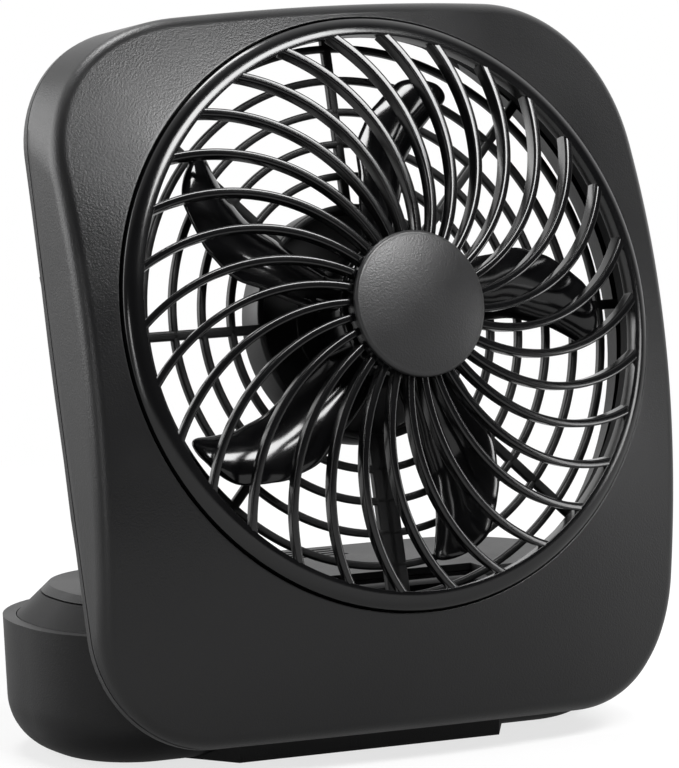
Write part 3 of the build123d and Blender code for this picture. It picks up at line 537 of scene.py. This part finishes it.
@dataclass
class HeadShell:
    """Front moulding of the head: a crowned pillow with a round opening, its corners tighter at the back."""

    axes: HeadFrame
    finishes: Finishes
    front: HeadOutline = HeadOutline(top=71.18, corner=42.0)
    back: HeadOutline = HeadOutline()
    opening: float = 67.4
    face_reach: float = 112.4
    face_drop: float = 21.5
    face_crown: float = 0.7
    face_wall: float = 2.4
    face_steps: int = 42
    edge_round: float = 4.5
    edge_steps: int = 14
    ball_rounds: int = 40
    draft: float = radians(2.5)
    parting: float = 20.5
    wall: float = 2.0
    wall_steps: int = 8
    brim_inset: float = 4.0
    ledge_radius: float = LEDGE_RADIUS
    ledge_depth: float = LEDGE_DEPTH
    collar: float = 69.4
    collar_front: float = 4.0
    collar_back: float = 5.0
    collar_gap: float = 0.4
    duct_wall: float = 1.6
    duct_end: float = 6.5
    lip_round: float = 0.35
    lip_steps: int = 6
    seam: float = 0.35
    seam_share: float = 0.3

    def face(self, radius: Array) -> tuple[Array, Array]:
        """Height and slope of the crowned face, a shallow arc of revolution from the opening to its reach.

        Args:
            radius: Distance from the fan axis.

        Returns:
            Height above the groove plane and its slope outwards.
        """
        run, drop = self.face_reach - self.opening, self.face_drop
        chord = hypot(run, drop)
        bend = (chord**2 / 4 + self.face_crown**2) / (2 * self.face_crown)
        back = bend - self.face_crown
        centre_radius = self.opening + run / 2 - drop / chord * back
        centre_height = -drop / 2 - run / chord * back
        rise = np.sqrt(bend**2 - (radius - centre_radius) ** 2)
        return centre_height + rise, -(radius - centre_radius) / rise

    def edge(self, points: Array, normals: Array, parted: Array) -> tuple[Array, ...]:
        """Finds the ball that rolls in the edge between face and side wall.

        The wall is ruled from the front outline to the outline at the parting line. The ball's centre lies
        one radius inside that wall and one radius under the face. Rounds of substitution settle its depth.

        Args:
            points: Front outline points.
            normals: Front outline normals.
            parted: Outline points at the parting line.

        Returns:
            Ball centres as u, v and w, and the unit normals of face and wall where the ball touches them.
        """
        lean = np.arctan(((points - parted) * normals).sum(axis=1, keepdims=True) / self.parting)
        inset = normals * self.edge_round / np.cos(lean)
        depth = np.full((len(points), 1), self.face_drop / 2)
        for _ in range(self.ball_rounds):
            spot = points + (parted - points) * depth / self.parting - inset
            radius = np.linalg.norm(spot, axis=1, keepdims=True)
            height, slope = self.face(radius)
            depth = self.edge_round * np.sqrt(1 + slope**2) - height
        tilt = np.sqrt(1 + slope**2)
        face_normal = np.concatenate([-slope * spot / radius, np.ones_like(tilt)], axis=1) / tilt
        wall_normal = np.concatenate([normals * np.cos(lean), -np.sin(lean)], axis=1)
        return np.concatenate([spot, -depth], axis=1), face_normal, wall_normal

    def rows(self) -> Array:
        """Works out the closed skin: inside, duct, opening, face, rolled edge, side wall and parting edge.

        The rolled edge swings evenly from the face's normal to the wall's, one ball radius from its centre.

        Returns:
            A grid of face coordinates whose rows run round the head.
        """
        points, normals = self.front.sample()
        back_points, back_normals = self.back.sample()
        parted = back_points - back_normals * self.parting * tan(self.draft)
        centre, face_normal, wall_normal = self.edge(points, normals, parted)
        between = np.arccos(np.clip((face_normal * wall_normal).sum(axis=1), -1, 1))[:, None]
        share = np.linspace(0.0, 1.0, self.edge_steps)[:, None, None]
        swing = np.sin((1 - share) * between) * face_normal + np.sin(share * between) * wall_normal
        edge = centre + self.edge_round * swing / np.sin(between)
        brim = np.linalg.norm(edge[0, :, :2], axis=1)
        outward = edge[0, :, :2] / brim[:, None]

        def ring(radius: Array | float, height: Array | float) -> Array:
            """One row at a radius along each column's own direction."""
            flat = outward * np.broadcast_to(radius, brim.shape)[:, None]
            return np.concatenate([flat, np.broadcast_to(height, brim.shape)[:, None]], axis=1)

        def parting_row(above: float, inset: float) -> Array:
            """One row of the side wall near the parting line, set in by inset."""
            height = np.full((len(parted), 1), above - self.parting)
            return np.concatenate([parted - back_normals * (inset - above * tan(self.draft)), height], axis=1)

        roll = centre + (self.edge_round - self.wall) * wall_normal
        collar = np.minimum(self.collar, np.linalg.norm(roll[:, :2], axis=1) - self.collar_gap)
        under = np.maximum(brim - self.brim_inset, collar + self.collar_gap / 2)
        shoulder = np.minimum(collar + self.wall, under - self.collar_gap / 4)
        inside = [parting_row(0.0, self.wall), roll]
        inside += [ring(radius, self.face(radius)[0] - self.face_wall) for radius in (under, shoulder)]
        duct_outer = self.ledge_radius + self.duct_wall
        duct = [
            ring(collar, -self.collar_front),
            ring(collar, -self.collar_back),
            ring(duct_outer, -self.collar_back),
            ring(duct_outer, -self.duct_end),
            ring(self.ledge_radius, -self.duct_end),
            ring(self.ledge_radius, -self.ledge_depth),
        ]
        lip_start = self.opening + self.lip_round
        lip = [ring(self.opening, -self.ledge_depth)]
        for step in np.linspace(0.0, 1.0, self.lip_steps):
            radius = self.opening * (1 - step**2) + lip_start * step**2
            top = self.face(lip_start)[0] * step**2
            lip.append(ring(radius, top - self.lip_round * (1 - step) ** 2))
        across = [lip_start + (brim - lip_start) * s for s in np.linspace(0.0, 1.0, self.face_steps)[1:-1]]
        face = [ring(radius, self.face(radius)[0]) for radius in across]
        low = parting_row(self.seam, 0.0)
        side = [edge[-1] + (low - edge[-1]) * s for s in np.linspace(0.0, 1.0, self.wall_steps)[1:]]
        step_in = self.seam_share * self.seam
        seam = [parting_row(step_in, step_in), parting_row(0.0, self.seam)]
        return np.stack([*inside, *duct, *lip, *face, *edge, *side, *seam])

    def build(self) -> None:
        """Makes the front shell."""
        draft = MeshDraft()
        draft.sheet(self.axes.place(*np.moveaxis(self.rows(), -1, 0)), close_rows=True)
        draft.build("front_shell", self.finishes.shell, Body.HEAD, "shell_plastic", crease=30.0)


@dataclass
class Grille:
    """Domed front grille: a rim, thirty bars that sweep in to the hub, and a plain cap."""

    axes: HeadFrame
    finishes: Finishes
    rim_radius: float = 66.95
    rim_inner: float = 62.9
    rim_lip: float = 0.8
    rim_crest: float = 2.94
    rim_back: float = 1.2
    rim_edge: float = 0.35
    rim_back_edge: float = 0.2
    rim_blend: float = 0.05
    rim_steps: int = 16
    rim_columns: int = 288
    ledge_radius: float = LEDGE_RADIUS
    ledge_depth: float = LEDGE_DEPTH
    bar_count: int = 30
    bar_width: float = 1.8
    bar_depth: float = 3.0
    bar_edges: tuple[float, ...] = (0.6, 0.6, 0.3, 0.3)
    bar_edge_steps: int = 6
    bar_steps: int = 56
    bar_apex: float = 12.94
    bar_lead: float = radians(45.0)
    bar_sweep: float = radians(30.0)
    bar_bite: float = 1.0
    hub_radius: float = 16.0
    hub_bore: float = 4.0
    hub_top: float = 13.4
    hub_thickness: float = 3.8
    hub_edge: float = 0.5
    cap_radius: float = 16.5
    cap_rim: float = 1.4
    cap_rise: float = 3.0
    cap_round: float = 0.9
    cap_foot: float = 0.15
    cap_steps: int = 40
    cap_round_steps: int = 12

    def rim_profile(self) -> Array:
        """Closed section of the rim: its top is an arc, level at the inner edge, that falls to the outer lip.

        Returns:
            Radius and height of each point, in order.
        """
        inner, outer, ledge = self.rim_inner, self.rim_radius, self.ledge_radius
        run, fall = outer - inner, self.rim_crest - self.rim_lip
        bend = (run**2 + fall**2) / (2 * fall)
        across = np.linspace(0.0, run, self.rim_steps)
        top = np.stack([inner + across, self.rim_crest - bend + np.sqrt(bend**2 - across**2)], axis=-1)
        rest = [(outer, -self.ledge_depth), (ledge, -self.ledge_depth), (inner, -self.rim_back)]
        corners = np.concatenate([top, rest])
        reach = np.full(len(corners), self.rim_blend)
        reach[[0, self.rim_steps - 1]] = self.rim_edge
        reach[self.rim_steps:] = self.rim_back_edge
        return soften(corners, reach)

    def bar_path(self) -> tuple[Array, Array]:
        """Middle line of one bar in plan: the circle that leaves the rim at the lead and ends at the hub.

        Returns:
            Points and unit directions, as rows of u and v.
        """
        start = np.array((self.rim_inner + self.bar_bite, 0.0))
        end = (self.hub_radius - self.bar_bite) * np.array((cos(self.bar_sweep), -sin(self.bar_sweep)))
        lead = np.array((-cos(self.bar_lead), -sin(self.bar_lead)))
        side = np.array((-lead[1], lead[0]))
        chord = end - start
        radius = chord @ chord / (2 * (chord @ side))
        centre = start + side * radius
        first = atan2(*(start - centre)[::-1])
        sweep = 2 * atan2(chord @ side, chord @ lead)
        turn = first + sweep * np.linspace(0.0, 1.0, self.bar_steps)
        spoke = np.stack([np.cos(turn), np.sin(turn)], axis=-1)
        facing = np.sign(sweep) * np.stack([-np.sin(turn), np.cos(turn)], axis=-1)
        return centre + abs(radius) * spoke, facing

    def bar(self) -> tuple[Array, Array, Array]:
        """Carries one bar's rounded section along its path on the dome.

        The dome is a ball through the rim's crest and the apex, and the section leans with its normal.

        Returns:
            Face coordinates, one closed ring for each point of the path.
        """
        path, facing = self.bar_path()
        drop = self.bar_apex - self.rim_crest
        dome = (self.rim_inner**2 + drop**2) / (2 * drop)
        radius = np.linalg.norm(path, axis=1)
        height = self.bar_apex - dome + np.sqrt(dome**2 - radius**2)
        lean = path / dome
        half = self.bar_width / 2
        corners = box(-half, half, 0.0, -self.bar_depth)
        section = soften(corners, np.array(self.bar_edges), self.bar_edge_steps)
        across = np.stack([-facing[:, 1], facing[:, 0]], axis=-1)
        steep = np.sqrt(1 - (lean**2).sum(axis=1))
        flat = path[:, None] + across[:, None] * section[None, :, :1] + lean[:, None] * section[None, :, 1:]
        return flat[..., 0], flat[..., 1], height[:, None] + steep[:, None] * section[None, :, 1]

    def build(self) -> None:
        """Makes the grille and its cap."""
        draft = MeshDraft()
        draft.sheet(self.axes.revolve(self.rim_profile(), self.rim_columns), close_rows=True)
        bar = self.bar()
        for step in range(self.bar_count):
            draft.tube(self.axes.place(*bar, 2 * pi * step / self.bar_count))
        disc = box(self.hub_bore, self.hub_radius, self.hub_top - self.hub_thickness, self.hub_top)
        draft.sheet(self.axes.revolve(soften(disc, self.hub_edge)), close_rows=True)
        draft.build("front_grille", self.finishes.grille, Body.HEAD, "grille_plastic")
        self.build_cap()

    def build_cap(self) -> None:
        """Makes the plain cap: a dome that falls as the square of the radius, with a rolled edge."""
        base, rim = self.hub_top, self.hub_top + self.cap_rim
        crown = self.hub_top + self.cap_rise
        share = np.linspace(0.0, 1.0, self.cap_steps)[1:]
        roll = np.linspace(0.0, pi / 2, self.cap_round_steps)[1:]
        shoulder = self.cap_radius - self.cap_round
        dome = np.stack([shoulder * share, crown - (crown - rim) * share**2], axis=-1)
        edge = (shoulder + self.cap_round * np.sin(roll), rim - self.cap_round * (1 - np.cos(roll)))
        foot = [(self.cap_radius, base + self.cap_foot), (self.cap_radius - self.cap_foot, base)]
        draft = MeshDraft()
        numbers = draft.sheet(self.axes.revolve(np.concatenate([dome, np.stack(edge, axis=-1), foot])))
        draft.cap(numbers[0], self.axes.place(0.0, 0.0, crown))
        draft.cap(numbers[-1], self.axes.place(0.0, 0.0, base))
        draft.build("centre_cap", self.finishes.cap, Body.HEAD, "grille_plastic")


@dataclass
class Rotor:
    """Five swept paddle blades on a hub cup."""

    axes: HeadFrame
    finishes: Finishes
    blade_count: int = 5
    tip: float = 56.5
    root: float = 15.2
    chord: float = 16.0
    thickness: float = 1.9
    camber: float = 1.9
    axial: float = -4.2
    hub_radius: float = 16.0
    hub_front: float = 7.0
    hub_back: float = -6.0
    hub_wall: float = 1.3
    hub_steps: int = 10
    hub_columns: int = 128
    boss_radius: float = 3.5
    boss_back: float = -3.2
    bore: float = 1.05
    bore_end: float = 4.6
    stations: tuple[float, ...] = (0.0, 0.33, 0.64, 0.80, 0.92, 1.0)
    chord_shares: tuple[float, ...] = (0.82, 0.97, 1.02, 0.98, 0.94, 0.92)
    pitches: tuple[float, ...] = (31.0, 25.0, 19.0, 17.0, 15.0, 14.0)
    sweep_shares: tuple[float, ...] = (0.21, 0.28, 0.24, 0.06, -0.15, -0.28)
    rise_shares: tuple[float, ...] = (0.11, 0.06, 0.0, 0.0, -0.02, -0.03)
    tip_start: float = 0.9
    last_step: float = 0.97  # short of the tip, where the chord is nothing
    blunt_power: float = 0.6
    thin_rate: float = 3.0  # thins the section where the chord's share is under a third
    span_steps: int = 72
    section_steps: int = 56

    def along_span(self, values: tuple[float, ...], span: Array) -> Array:
        """Carries values between the stations on cubic pieces, each ending in the neighbours' mean slope.

        Args:
            values: One value for each station.
            span: Shares of the way from root to tip.

        Returns:
            The value at each share.
        """
        places, heights = np.array(self.stations), np.array(values)
        slopes = np.gradient(heights, places)
        piece = np.clip(np.searchsorted(places, span, side="right") - 1, 0, len(places) - 2)
        width = places[piece + 1] - places[piece]
        share = (span - places[piece]) / width
        start = heights[piece] + slopes[piece] * width * share
        end = heights[piece + 1] - slopes[piece + 1] * width * (1 - share)
        blend = share**2 * (3 - 2 * share)
        return start * (1 - blend) + end * blend

    def blade(self) -> tuple[Array, Array, Array]:
        """One paddle: a cambered rounded section, turned by its pitch, at every step from root to tip.

        The section is an oval with blunt edges, bowed by the camber in a parabola over its chord. Past
        tip_start the chord narrows on a rounded curve, the root of one less the cube of the way to the tip.

        Returns:
            Face coordinates, one closed ring for each step.
        """
        span = 1 - (1 - np.linspace(0.0, self.last_step, self.span_steps)) ** 2
        share, pitch, sweep, rise = (
            self.along_span(values, span)[:, None]
            for values in (self.chord_shares, self.pitches, self.sweep_shares, self.rise_shares)
        )
        pitch = np.radians(pitch)
        ending = np.clip((span[:, None] - self.tip_start) / (1 - self.tip_start), 0.0, 1.0)
        share = share * np.sqrt(1 - ending**3)
        radius = self.root + span[:, None] * (self.tip - self.root)
        rounds = np.linspace(0.0, 2 * pi, self.section_steps, endpoint=False)[None, :]
        along = np.cos(rounds)
        thick = np.sign(np.sin(rounds)) * np.abs(np.sin(rounds)) ** self.blunt_power * self.thickness / 2
        bow = self.camber * share * (0.5 - along**2)
        off = thick * np.minimum(1.0, self.thin_rate * share) + bow
        half = share * self.chord / 2
        v = sweep * self.chord + half * along * np.cos(pitch) - off * np.sin(pitch)
        w = self.axial + rise * self.chord + half * along * np.sin(pitch) + off * np.cos(pitch)
        return radius, v, w

    def build(self) -> None:
        """Makes the blades and the hub cup, a turned section with a rolled front edge."""
        draft = MeshDraft()
        blade = self.blade()
        for step in range(self.blade_count):
            draft.tube(self.axes.place(*blade, 2 * pi * step / self.blade_count))
        inner, under = self.hub_radius - self.hub_wall, self.hub_front - self.hub_wall
        roll = np.linspace(0.0, pi / 2, self.hub_steps)
        front = (inner + self.hub_wall * np.cos(roll), under + self.hub_wall * np.sin(roll))
        profile = np.concatenate(
            [
                [(self.bore, self.bore_end), (self.bore, self.boss_back), (self.boss_radius, self.boss_back)],
                [(self.boss_radius, under), (inner, under)],
                [(inner, self.hub_back), (self.hub_radius, self.hub_back)],
                np.stack(front, axis=-1),
                [(self.boss_radius, self.hub_front)],
            ]
        )
        draft.tube(self.axes.revolve(profile, self.hub_columns))
        draft.build("fan_rotor", self.finishes.rotor, Body.ROTOR, "rotor_plastic")


@dataclass
class RearGuard:
    """Guard behind the blades: rings and spokes round a pod that holds the motor's cup."""

    axes: HeadFrame
    finishes: Finishes
    front: float = -11.6
    back: float = -13.4
    reach: float = 68.2
    last_gap: float = 4.75
    rib_width: float = 1.7
    first_ring: float = 27.0
    ring_count: int = 6
    spoke_count: int = 8
    spoke_width: float = 2.2
    channel_width: float = 5.6
    pod_back: float = -19.5
    plate_front: float = -17.5
    cup_inner: float = 12.3
    cup_wall: float = 1.5
    cup_front: float = -9.5
    core: float = 2.0
    edge: float = 0.5
    edge_steps: int = 4

    def spoke(self, draft: MeshDraft, turn: float, width: float) -> None:
        """Adds one straight spoke of softened section, from the pod's wall to the seat in the shell.

        Args:
            draft: The mesh that it joins.
            turn: Its angle about the fan axis.
            width: Its width.
        """
        section = soften(box(-width / 2, width / 2, self.back, self.front), self.edge, self.edge_steps)
        reach = np.array((self.first_ring - self.rib_width / 2, self.reach))[:, None]
        draft.tube(self.axes.place(reach, section[None, :, 0], section[None, :, 1], turn))

    def pod(self, draft: MeshDraft) -> None:
        """Adds the pod: a turned dish whose wall is the first ring, with the motor's cup on its plate.

        Args:
            draft: The mesh that it joins.
        """
        wall, cup, core = self.first_ring, self.cup_inner, self.core
        inner, cup_outer = wall - self.rib_width, cup + self.cup_wall
        low, plate, high = self.pod_back, self.plate_front, self.cup_front
        radii = (core, wall, wall, inner, inner, cup_outer, cup_outer, cup, cup, core)
        heights = (low, low, self.front, self.front, plate, plate, high, high, plate, plate)
        corners = np.stack([radii, heights], axis=-1)
        rounded = soften(corners, self.edge, self.edge_steps)[self.edge_steps:-self.edge_steps]
        draft.tube(self.axes.revolve(np.concatenate([corners[:1], rounded, corners[-1:]])))

    def build(self) -> None:
        """Makes the guard, with a wider spoke at the foot for the motor's wires."""
        draft = MeshDraft()
        pitch = (self.reach - self.last_gap - self.first_ring) / (self.ring_count - 1)
        self.pod(draft)
        for step in range(1, self.ring_count):
            outer = self.first_ring + step * pitch
            corners = box(outer - self.rib_width, outer, self.back, self.front)
            draft.sheet(self.axes.revolve(soften(corners, self.edge, self.edge_steps)), close_rows=True)
        for step in range(self.spoke_count):
            self.spoke(draft, 2 * pi * step / self.spoke_count, self.spoke_width)
        self.spoke(draft, -pi / 2, self.channel_width)
        draft.build("rear_guard", self.finishes.guard, Body.HEAD, "guard_plastic")


@dataclass
class CarriedNodes:
    """Dresses the CAD nodes that keep their own shape."""

    finishes: Finishes
    join_gap: float = 0.002
    crease: float = radians(28.0)

    def smooth_group(self) -> NodeTree:
        """Makes the modifier's tree: joins the loose triangles and smooths all edges under a crease angle.

        Returns:
            The tree.
        """
        tree = bpy.data.node_groups.new("join_and_smooth", "GeometryNodeTree")
        for way in ("INPUT", "OUTPUT"):
            tree.interface.new_socket("Geometry", in_out=way, socket_type="NodeSocketGeometry")
        source, gap = add_node(tree, "NodeGroupInput"), {"Distance": self.join_gap * MM}
        joined = add_node(tree, "GeometryNodeMergeByDistance", gap, {"Geometry": source})
        smooth = add_node(tree, "GeometryNodeSetShadeSmooth", links={"Geometry": joined})
        angle = add_node(tree, "GeometryNodeInputMeshEdgeAngle")
        sharp = add_node(tree, "FunctionNodeCompare", {"data_type": "FLOAT", 1: self.crease}, {0: angle})
        flat, edges = {"domain": "EDGE", "Shade Smooth": False}, {"Geometry": smooth, "Selection": sharp}
        creased = add_node(tree, "GeometryNodeSetShadeSmooth", flat, edges)
        add_node(tree, "NodeGroupOutput", links={0: creased})
        return tree

    def dress(self) -> None:
        """Gives every shown CAD node its finish and smooth shading."""
        finishes, smoothing = self.finishes, self.smooth_group()
        groups = (
            (finishes.back, "rear_shell"),
            (finishes.base, "base_tray", "battery_lid"),
            (finishes.cover, "base_top_cover"),
            (finishes.screws, "shell_screws", "base_screws"),
            (finishes.steel, "motor_can", "motor_shaft", "hinge_pins", "charge_port"),
            (finishes.guard, "motor_end_cap"),
            (finishes.bronze, "motor_bushes"),
            (finishes.ferrite, "motor_magnets"),
            (finishes.copper, "motor_armature"),
            (finishes.sleeve, "battery_cell_left", "battery_cell_right"),
            (finishes.nickel, "contact_leaf_left", "contact_leaf_right"),
            (finishes.laminate, "circuit_board"),
            (finishes.switch, "switch_body", "switch_knob"),
        )
        for material, *names in groups:
            for name in names:
                node = frame["nodes"][name]
                for place in node.material_slots:
                    place.material = material
                smooth = node.modifiers.new("join_and_smooth", "NODES")
                smooth.node_group = smoothing
                LOG.info("%s: %s", name, material.name)


@dataclass(frozen=True)
class Lamp:
    """One soft box of the studio: its place and size in metres, and its power."""

    name: str
    place: tuple[float, float, float]
    width: float
    height: float
    watts: float


@dataclass
class Studio:
    """Pale floor, white surround, soft boxes and the camera at the photograph's angle."""

    axes: HeadFrame
    azimuth: float = radians(-29.956)
    elevation: float = radians(7.782)
    camera_from_axis: tuple[float, float, float] = (-736.32, -1255.55, 182.99)
    focal_px: float = 6565.5
    image_height_px: float = 768.0
    sensor: float = 36.0
    clip_end: float = 50000.0
    floor_half: float = 1500.0
    shadow_near: float = 160.0
    shadow_far: float = 420.0
    paper: str = "f4f4f4"
    paper_bounce: str = "989898"  # the paper's tone for all but camera rays
    paper_share: float = 0.26  # lit paper's share near the fan, beside plain white
    mirrored_share: float = 0.2  # plain white's share where the fan mirrors the floor
    room: float = 0.03  # level of the surround in front, in reflections
    fill: float = 0.25  # level of the surround as light
    sweep_start: float = -0.25
    sweep_end: float = 0.35
    lamps: tuple[Lamp, ...] = (
        Lamp("key_box", (0.28, -1.0, 1.22), 1.0, 0.5, 30.0),
        Lamp("top_box", (-0.1, 0.5, 1.4), 0.5, 0.4, 10.0),
        Lamp("left_box", (-1.25, 0.95, 0.6), 1.5, 1.1, 20.0),
        Lamp("left_strip", (-1.4, -0.75, 0.15), 0.12, 0.9, 3.0),
        Lamp("right_box", (1.35, -0.8, 0.2), 0.3, 0.4, 3.0),
    )

    def build_camera(self) -> None:
        """Sets the camera where the photograph was taken from."""
        data = bpy.data.cameras.new("camera")
        data.lens = self.focal_px * self.sensor / self.image_height_px
        data.sensor_width = self.sensor
        data.clip_end = self.clip_end * MM
        camera = bpy.data.objects.new("camera", data)
        level = cos(self.elevation)
        back = Vector((sin(self.azimuth) * level, -cos(self.azimuth) * level, sin(self.elevation)))
        camera.location = Vector((self.axes.origin + np.array(self.camera_from_axis)) * MM)
        camera.rotation_euler = (-back).to_track_quat("-Z", "Y").to_euler()
        bpy.context.scene.collection.objects.link(camera)
        bpy.context.scene.camera = camera

    def build_lamps(self) -> None:
        """Hangs the soft boxes, each facing the head."""
        target = Vector(self.axes.origin * MM)
        for lamp in self.lamps:
            data = bpy.data.lights.new(lamp.name, "AREA")
            data.shape = "RECTANGLE"
            data.size = lamp.width
            data.size_y = lamp.height
            data.energy = lamp.watts
            panel = bpy.data.objects.new(lamp.name, data)
            panel.location = Vector(lamp.place)
            panel.rotation_euler = (target - panel.location).to_track_quat("-Z", "Y").to_euler()
            bpy.context.scene.collection.objects.link(panel)

    def shown(self, tree: NodeTree, rays: Node, other: Node) -> Node:
        """Gives one for what the camera sees, also through clear pieces, and another level elsewhere.

        Args:
            tree: The tree that gets the nodes.
            rays: Its Light Path node.
            other: The level for other rays, up to one.

        Returns:
            The level's node.
        """
        both = {0: rays.outputs["Is Camera Ray"], 1: rays.outputs["Is Transmission Ray"]}
        seen = add_node(tree, "ShaderNodeMath", {"operation": "MAXIMUM"}, both)
        return add_node(tree, "ShaderNodeMath", {"operation": "MAXIMUM"}, {0: seen, 1: other})

    def build_world(self) -> None:
        """White for the camera, an even grey as light, and in reflections a white sweep behind a dark room.

        A reflection rises from the room's level to white as it turns from the front to the back.
        """
        world = bpy.data.worlds.new("white_sweep")
        world.use_nodes = True
        tree = world.node_tree
        tree.nodes.clear()
        here = add_node(tree, "ShaderNodeTexCoord").outputs["Generated"]
        ways = add_node(tree, "ShaderNodeSeparateXYZ", links={0: here})
        span = {"From Min": self.sweep_start, "From Max": self.sweep_end}
        levels = {"To Min": self.room, "To Max": 1.0}
        sweep = add_node(tree, "ShaderNodeMapRange", span | levels, {"Value": ways.outputs["Y"]})
        rays = add_node(tree, "ShaderNodeLightPath")
        light = {0: rays.outputs["Is Diffuse Ray"], 2: sweep}
        level = add_node(tree, "ShaderNodeMix", {"data_type": "FLOAT", 3: self.fill}, light)
        strength = {"Strength": self.shown(tree, rays, level)}
        glow = add_node(tree, "ShaderNodeBackground", {"Color": (1.0, 1.0, 1.0, 1.0)}, strength)
        add_node(tree, "ShaderNodeOutputWorld", links={"Surface": glow})
        bpy.context.scene.world = world

    def paper_sheet(self) -> Material:
        """Makes the floor's finish: lit paper near the fan, where it keeps the shadow, that fades to white.

        Returns:
            The finished material.
        """
        material, tree = new_tree("matt_white_sweep")
        rays = add_node(tree, "ShaderNodeLightPath")
        tones = {"data_type": "RGBA", 6: linear(self.paper_bounce), 7: linear(self.paper)}
        tone = add_node(tree, "ShaderNodeMix", tones, {0: rays.outputs["Is Camera Ray"]})
        lit = add_node(tree, "ShaderNodeBsdfDiffuse", links={"Color": tone.outputs[2]})
        white = add_node(tree, "ShaderNodeEmission", {"Strength": 1.0})
        here = add_node(tree, "ShaderNodeTexCoord").outputs["Object"]
        away = add_node(tree, "ShaderNodeVectorMath", {"operation": "LENGTH"}, {0: here})
        span = {"From Min": self.shadow_near * MM, "From Max": self.shadow_far * MM}
        levels = {"To Min": 1.0 - self.paper_share, "To Max": 1.0}
        plain = add_node(tree, "ShaderNodeMapRange", span | levels, {"Value": away.outputs["Value"]})
        damped = {"operation": "MULTIPLY", 1: self.mirrored_share}
        mirrored = add_node(tree, "ShaderNodeMath", damped, {0: rays.outputs["Is Glossy Ray"]})
        parts = {0: self.shown(tree, rays, mirrored), 1: plain}
        share = add_node(tree, "ShaderNodeMath", {"operation": "MULTIPLY"}, parts)
        both = add_node(tree, "ShaderNodeMixShader", links={0: share, 1: lit, 2: white})
        add_node(tree, "ShaderNodeOutputMaterial", links={"Surface": both})
        return material

    def build_floor(self) -> None:
        """Lays the pale floor."""
        half = self.floor_half * MM
        mesh = bpy.data.meshes.new("floor")
        corners = [(*corner, 0.0) for corner in box(-half, half, -half, half).tolist()]
        mesh.from_pydata(corners, [], [(0, 1, 2, 3)])
        mesh.materials.append(self.paper_sheet())
        floor = bpy.data.objects.new("floor", mesh)
        bpy.context.scene.collection.objects.link(floor)

    def build(self) -> None:
        """Sets up camera, light and floor."""
        self.build_camera()
        self.build_lamps()
        self.build_world()
        self.build_floor()
        bpy.context.scene.view_settings.view_transform = "Standard"


def main() -> None:
    """Builds the pieces in order, dresses the carried nodes and sets up the studio."""
    logging.basicConfig(level=logging.INFO, format="%(name)s %(message)s")
    axes = HeadFrame.from_joint()
    finishes = Finishes(axes)
    for assembly in (HeadShell, Grille, Rotor, RearGuard):
        assembly(axes, finishes).build()
    CarriedNodes(finishes).dress()
    Studio(axes).build()


if __name__ == "__main__":
    main()
